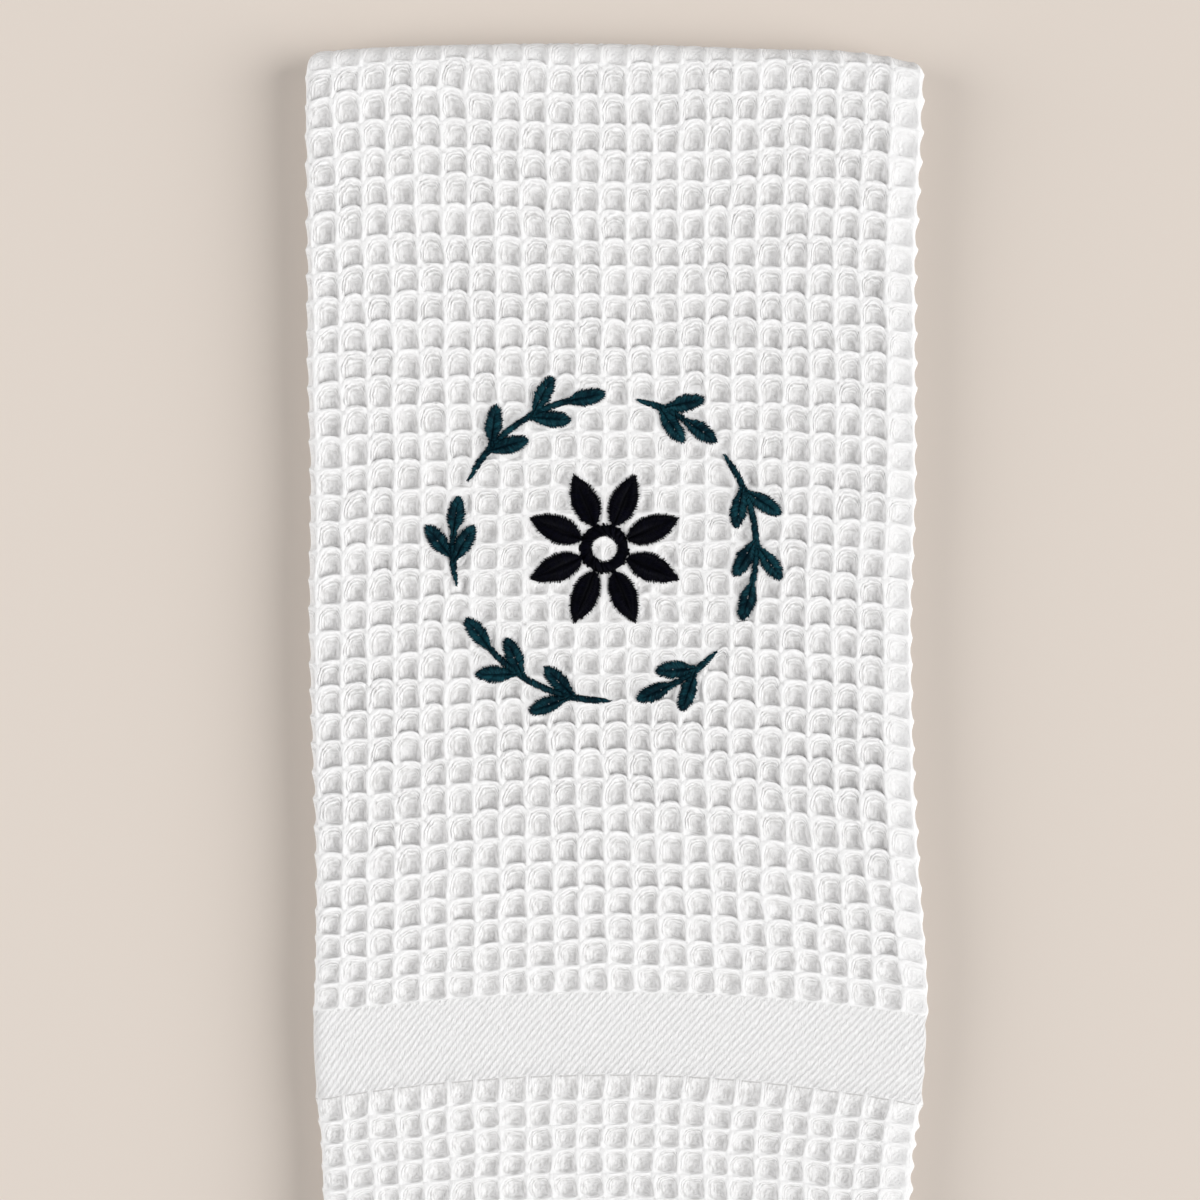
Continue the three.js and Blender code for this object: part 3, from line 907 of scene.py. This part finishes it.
def waffleRelief(u, v, amount, pressed):
    # lift above the cloth's middle, and the shifts across and along, of points of the waffle
    # where the cloth was hooped for the embroidery its ridges are pressed broad and flat
    a, b = u - np.floor(u), v - np.floor(v)
    pitA, pitB = waffle["pitAcross"], waffle["pitDown"]
    fromA = np.where(a < pitA, (pitA - a) / pitA, (a - pitA) / (1 - pitA))
    fromB = np.where(b < pitB, (pitB - b) / pitB, (b - pitB) / (1 - pitB))
    middleA, middleB = 1 - np.abs(2 * a - 1) ** 3, 1 - np.abs(2 * b - 1) ** 3
    roundA = 1 - np.abs(2 * a - 1) ** 2.2
    wideA = np.minimum(fromA * (1.03 + 0.10 * middleB + 0.06 * pressed), 1)
    wideB = np.minimum(fromB * (1.0 + 0.03 * middleA + 0.08 * pressed), 1)
    power = waffle["pitPower"]
    square = (wideA**power + wideB**power) ** (1 / power)
    rounded = 0.92 * np.sqrt(wideA**2 + wideB**2)
    squareness = smoothStep(0.3, 0.8, square)
    ring = np.minimum(square * squareness + rounded * (1 - squareness), 1)
    rise = ring ** waffle["wallPower"]
    depth = waffle["depth"] * smoothCurve(rowRelief, "share", v)
    depth = depth * cellValue("depth", u, v) * amount * (1 - 0.1 * pressed)
    # the crest of a row's ridge hangs between the higher ridges of the columns
    rowEnd = fromB**3 * (1 - middleA) * (1 - smoothStep(0.93, 1.0, fromA))
    crossing = (1 - middleA) * (1 - middleB)
    drop = waffle["cornerDrop"] * (rowEnd + 0.4 * crossing) * amount
    lift = waffle["crest"] - depth * (1 - rise) - drop
    arch = smoothCurve(rowShape, "arch", v) * cellValue("arch", u, v + 0.5)
    bulge = smoothCurve(rowShape, "bulge", v) * cellValue("arch", u + 0.5, v)
    lean = smoothCurve(rowShape, "lean", v)
    across = jitterAt("across", u, v) - bulge * (1 - 0.4 * pressed) * middleB * fromA**2
    along = (arch * roundA * fromB**2 + lean * middleA * rise) * (1 - 0.7 * pressed)
    along = jitterAt("along", u, v) - along
    inBand = smoothStep(waffle["bandStart"] - 0.05, waffle["bandStart"] + 0.1, v)
    inBand = inBand - smoothStep(waffle["bandEnd"] - 0.1, waffle["bandEnd"] + 0.02, v)
    plain = 1 - inBand
    lift = lift * plain + (waffle["crest"] - waffle["bandDepth"]) * inBand
    nearBand = plain * smoothStep(0, 1, np.abs(v - (waffle["bandStart"] + waffle["bandEnd"]) / 2) - 1.4)
    return lift, across * nearBand * amount, along * nearBand * amount


def hemTurn(steps):
    # past an edge the cloth turns under: how far it goes on, its height above the middle, the way travelled
    angles = np.linspace(0, math.pi, steps + 1)[1:]
    onward = np.append(halfCloth * np.sin(angles), -cloth["hemWidth"])
    heights = np.append(halfCloth * np.cos(angles), -halfCloth)
    travelled = np.append(halfCloth * angles, halfCloth * math.pi + cloth["hemWidth"])
    return onward[:, None], heights[:, None], travelled[:, None]


# The hem at each end, with a row of white stitches across it
hem = {
    "seam": 8.3,  # distance of the stitches from the edge
    "rowPitch": 6.14,
    "stitch": 2.6,
    "gap": 0.7,
    "firstStitch": 1.0,  # in from the left fold, and the last in from the right
    "lastStitch": 2.5,
    "threadLow": 0.45,
    "threadRise": 0.36,
    "threadCrown": 0.18,
    "threadWidth": 0.5,
    "wave": 0.55,
}


def hemWave(u, v):
    # the edge isn't quite straight
    near = smoothStep(waffle["upperEnd"] - 2.5, waffle["upperEnd"], np.abs(v)) * np.sign(v)
    return hem["wave"] * near * (np.sin(0.9 * u + 1.0) + 0.6 * np.sin(2.1 * u + 0.4))


def makeHemStitches(material):
    # a row of lockstitch across the face and one across the underside, each stitch a thread of its own
    inset = hem["seam"] / hem["rowPitch"]
    width = waffle["columnsOnFace"] * waffle["columnWidth"]
    level = hem["threadLow"] + hem["threadRise"] * (4 * stitchStations * (1 - stitchStations)) ** 0.5
    level = level[:, None] + np.array([0, 1, 1, 0]) * hem["threadCrown"]
    parts = []
    for v, onTop in ((waffle["upperEnd"] - inset, True), (waffle["lowerEnd"] + inset, False)):
        starts = np.arange(hem["firstStitch"], width - hem["lastStitch"], hem["stitch"] + hem["gap"])
        starts = starts + threadChance.uniform(-0.15, 0.15, len(starts))
        u = waffle["firstColumn"] + (starts[:, None] + hem["stitch"] * stitchStations) / waffle["columnWidth"]
        u = np.broadcast_to(u[:, :, None], (len(starts), *level.shape))
        sideways = np.broadcast_to(stitchOffsets * hem["threadWidth"], u.shape)
        points = layCloth(u, np.full(u.shape, v), np.broadcast_to(level, u.shape), 0.0, sideways)
        faces = stitchFaces(len(starts))
        along = np.broadcast_to(stitchStations[None, :, None], u.shape)
        number = np.arange(len(starts))[:, None, None] + np.array([0.02, 0.26, 0.74, 0.98])
        lay = np.stack([along, np.broadcast_to(number, u.shape)], axis=-1)
        parts.append((points.reshape(-1, 3), faces[:, ::-1] if onTop else faces, lay.reshape(-1, 2)))
    piece = threadPiece("hemStitches", parts, material)
    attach(piece, "root")
    return piece


# How the relief fades at the folds, the ends and the stitches, and how much painted light whitens the cloth
# on its folds
reliefEnds = {
    "leftFold": (-0.3, 0.1),  # columns over which each side fold begins
    "rightFold": (22.0, 22.6),
    "leftFoldFlat": 0.6,
    "rightFoldFlat": 0.45,
    "endFlat": 0.35,
    "seamFlat": 0.7,
    "besideFlat": 0.8,
    "stitchDip": 0.45,
    "seamDip": 0.25,
    "rightSag": 0.45,
    "leftFoldLight": 0.6,
    "rightFoldLight": 0.72,
    "crossFoldLight": 0.75,
}


def leftFoldShare(u):
    return 1 - smoothStep(*reliefEnds["leftFold"], u)


def rightFoldShare(u):
    return smoothStep(*reliefEnds["rightFold"], u)


def reliefAmount(u, v, seam):
    # the relief's share of its depth, 0 on the flaps, which are plain
    lines, ends = clothLines, reliefEnds
    amount = smoothStep(lines["leftCut"], lines["leftCut"] + 0.7, u)
    amount = amount * (1 - smoothStep(lines["rightCut"] - 0.6, lines["rightCut"], u))
    amount = amount * (1 - ends["rightFoldFlat"] * rightFoldShare(u))
    amount = amount * (1 - ends["leftFoldFlat"] * leftFoldShare(u))
    atEnd = smoothStep(waffle["upperEnd"] - 1.8, waffle["upperEnd"] - 1.4, np.abs(v))
    amount = amount * (1 - ends["endFlat"] * atEnd)
    amount = amount * smoothStep(0, 0.3, np.abs(v - lines["underCut"]))
    return amount * (1 - ends["seamFlat"] * seam)


def paintedFoldLight(u, v):
    # painted light whitens the folds, where the cloth is also stretched and shows little of its greyer pits
    white = reliefEnds["rightFoldLight"] * smoothStep(21.9, 22.3, u) * (1 - smoothStep(23.4, 23.8, u))
    white = white + reliefEnds["leftFoldLight"] * leftFoldShare(u) * smoothStep(-1.7, -1.2, u)
    onCrossFold = (1 - smoothStep(-0.3, 0.1, v)) * smoothStep(-4.5, -2.5, v)
    return np.maximum(white, reliefEnds["crossFoldLight"] * onCrossFold)


# The whole cloth laid flat in a square map for baking
bakeMap = {
    "firstColumn": -30,
    "columns": 82,
    "lowEnd": -380,
    "length": 760,
}


def clothPatch(uLines, vLines, turn):
    # points of one part of the cloth, with the hem turned under past the last of vLines; turn is 1 or -1
    u, v = np.meshgrid(uLines, vLines)
    seam = np.exp(-(((waffle["upperEnd"] - np.abs(v)) * hem["rowPitch"] - hem["seam"]) ** 2))
    amount = reliefAmount(u, v, seam)
    level = layCloth(u, v, halfCloth)
    across, away = level[..., 0] - shiftAcross, level[..., 1] - shiftAlong
    onFace = rowAlong(u, v) > 0
    apart = np.where(onFace & (amount > 0), stitchDistance(across, away), 99.0)
    fromCentre = np.hypot(across - stitching["across"], away + stitching["distance"])
    pressed = 1 - smoothStep(stitching["radius"] - 6, stitching["radius"] + 3, fromCentre)
    pressed = np.where(onFace, pressed, 0)
    beside = 1 - smoothStep(0.2, 1.7, apart)
    lift, slide, along = waffleRelief(u, v, amount * (1 - reliefEnds["besideFlat"] * beside), pressed)
    # the stitches pull the cloth down under them, and it stands up round them
    lift = lift - reliefEnds["stitchDip"] * (1 - smoothStep(-0.9, 0.4, apart)) - reliefEnds["seamDip"] * seam
    # between two rows the ridge along the right fold sags a little
    sag = rightFoldShare(u) * (1 - seam) * np.sin(math.pi * (v + 0.08)) ** 2
    lift = np.where(amount > 0, lift - reliefEnds["rightSag"] * sag, halfCloth)
    points = layCloth(u, v, lift, slide, along + hemWave(u, v))
    stitched = np.stack([beside, pressed, paintedFoldLight(u, v)], axis=-1).reshape(-1, 3)
    onward, heights, travelled = hemTurn(clothLines["foldSteps"])
    hemU, hemV = np.meshgrid(uLines, np.full(len(onward), vLines[-1]))
    turned = layCloth(hemU, hemV, heights + 0 * hemU, 0.0, onward * turn + hemWave(hemU, hemV))
    u, v = np.concatenate([u, hemU]), np.concatenate([v, hemV])
    way = smoothCurve(rowPlaces, "distance", v)
    way[-len(onward) :] += turn * travelled
    bakeU = (u - bakeMap["firstColumn"]) / bakeMap["columns"]
    bakeV = (way - bakeMap["lowEnd"]) / bakeMap["length"]
    return {
        "shape": u.shape,
        "points": np.concatenate([points, turned]).reshape(-1, 3),
        "weave": np.stack([u, v], axis=-1).reshape(-1, 2),
        "bake": np.stack([bakeU, bakeV], axis=-1).reshape(-1, 2),
        "stitched": np.concatenate([stitched, np.zeros((hemU.size, 3))]),
    }


def makeCloth(material):
    lines = clothLines
    faceU = cellLines(lines["leftCut"], lines["rightCut"], lines["fine"]) + [lines["rightCut"]]
    underU = sorted(cellLines(lines["leftCut"], lines["rightCut"], lines["coarse"]) + lines["foldLines"])
    bandLines = list(np.linspace(waffle["bandStart"], waffle["bandEnd"], 9)[:-1])
    faceV = (
        cellLines(lines["underCut"], waffle["bandStart"], lines["fine"])
        + bandLines
        + cellLines(waffle["bandEnd"], lines["fineEnd"], lines["fine"])
        + cellLines(lines["fineEnd"], waffle["upperEnd"], lines["middling"])
        + [waffle["upperEnd"]]
    )
    underV = cellLines(waffle["lowerEnd"], lines["underCut"], lines["coarse"]) + [lines["underCut"]]
    leftU = list(np.linspace(lines["leftFree"], lines["leftCut"], 12))
    rightU = list(np.linspace(lines["rightCut"], lines["rightFree"], 12))
    flapUpV = list(np.linspace(lines["underCut"], waffle["upperEnd"], 31))
    flapDownV = list(np.linspace(lines["underCut"], waffle["lowerEnd"], 27))
    patches = [
        clothPatch(faceU, faceV, 1),
        clothPatch(underU, underV[::-1], -1),
        clothPatch(leftU, flapUpV, 1),
        clothPatch(rightU, flapUpV, 1),
        clothPatch(leftU, flapDownV, -1),
        clothPatch(rightU, flapDownV, -1),
    ]
    faces, start = [], 0
    for index, patch in enumerate(patches):
        patchFaces = gridFaces(*patch["shape"], start)
        onUpperPacket = index in (0, 2, 3)
        faces.append(patchFaces[:, ::-1] if onUpperPacket else patchFaces)
        start += len(patch["points"])
    columns = ("points", "weave", "bake", "stitched")
    points, weave, bake, stitched = (np.concatenate([patch[name] for patch in patches]) for name in columns)
    towel = meshObject("towelCloth", points, np.concatenate(faces), material)
    addMap(towel.data, "weave", weave)
    addMap(towel.data, "OFBake", bake)
    layer = towel.data.attributes.new("stitched", "FLOAT_VECTOR", "POINT")
    layer.data.foreach_set("vector", stitched.ravel())
    print("cloth made,", 2 * len(towel.data.polygons), "triangles")
    return towel


# Floor and light
stageSetup = {
    "floorHalf": 3000,
    "floor": {"Base Color": (0.69, 0.615, 0.55), "Roughness": 0.8},
    "skyStrength": 0.38,
}
# Broad, far lamps, even over the whole floor: degrees round from the right, up from the floor and across
lamps = {
    "name": ["rightLight", "leftLight"],
    "from": [-14, 190],
    "up": [30, 25],
    "spread": [45, 45],
    "strength": [2.9, 1.72],
}


def makeLamp(name, around, up, spread, strength):
    data = bpy.data.lights.new(name, "SUN")
    data.energy = strength
    data.angle = math.radians(spread)
    light = bpy.data.objects.new(name, data)
    light.rotation_euler = (0, math.radians(90 - up), math.radians(around))
    bpy.context.collection.objects.link(light)


def makeStage():
    material = newMaterial("paleFloor", stageSetup["floor"])[0]
    side = stageSetup["floorHalf"]
    corners = [(-side, -side, 0), (side, -side, 0), (side, side, 0), (-side, side, 0)]
    floor = meshObject("floor", corners, [(0, 1, 2, 3)], material)
    for row in zip(*lamps.values()):
        makeLamp(*row)
    world = bpy.data.worlds.new("paleRoom")
    world.use_nodes = True
    background = world.node_tree.nodes["Background"]
    background.inputs["Color"].default_value = (1, 1, 1, 1)
    background.inputs["Strength"].default_value = stageSetup["skyStrength"]
    bpy.context.scene.world = world
    bpy.context.scene.view_settings.view_transform = "Standard"
    print("stage made")


makeCamera()
makeStage()
cotton = makeCotton()
towel = makeCloth(cotton)
look = threadLook
leafThread = makeThread("leafThread", look["leafDark"], look["leafLight"], look["bareShare"])
flowerThread = makeThread("flowerThread", look["flowerDark"], look["flowerLight"])
hemThread = makeThread("hemThread", look["hemDark"], look["hemLight"])
hemPiece = makeHemStitches(hemThread)
embroidery = [
    makeStitches(f"sprigStitches_{i + 1}", forms, leafThread, f"sprig_{i + 1}")
    for i, forms in enumerate(sprigPieces)
]
embroidery.append(makeStitches("flowerStitches", flowerPiece, flowerThread, "flower"))
print("embroidery made,", sum(2 * len(piece.data.polygons) for piece in embroidery), "triangles")
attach(towel, "root")
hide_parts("towel")
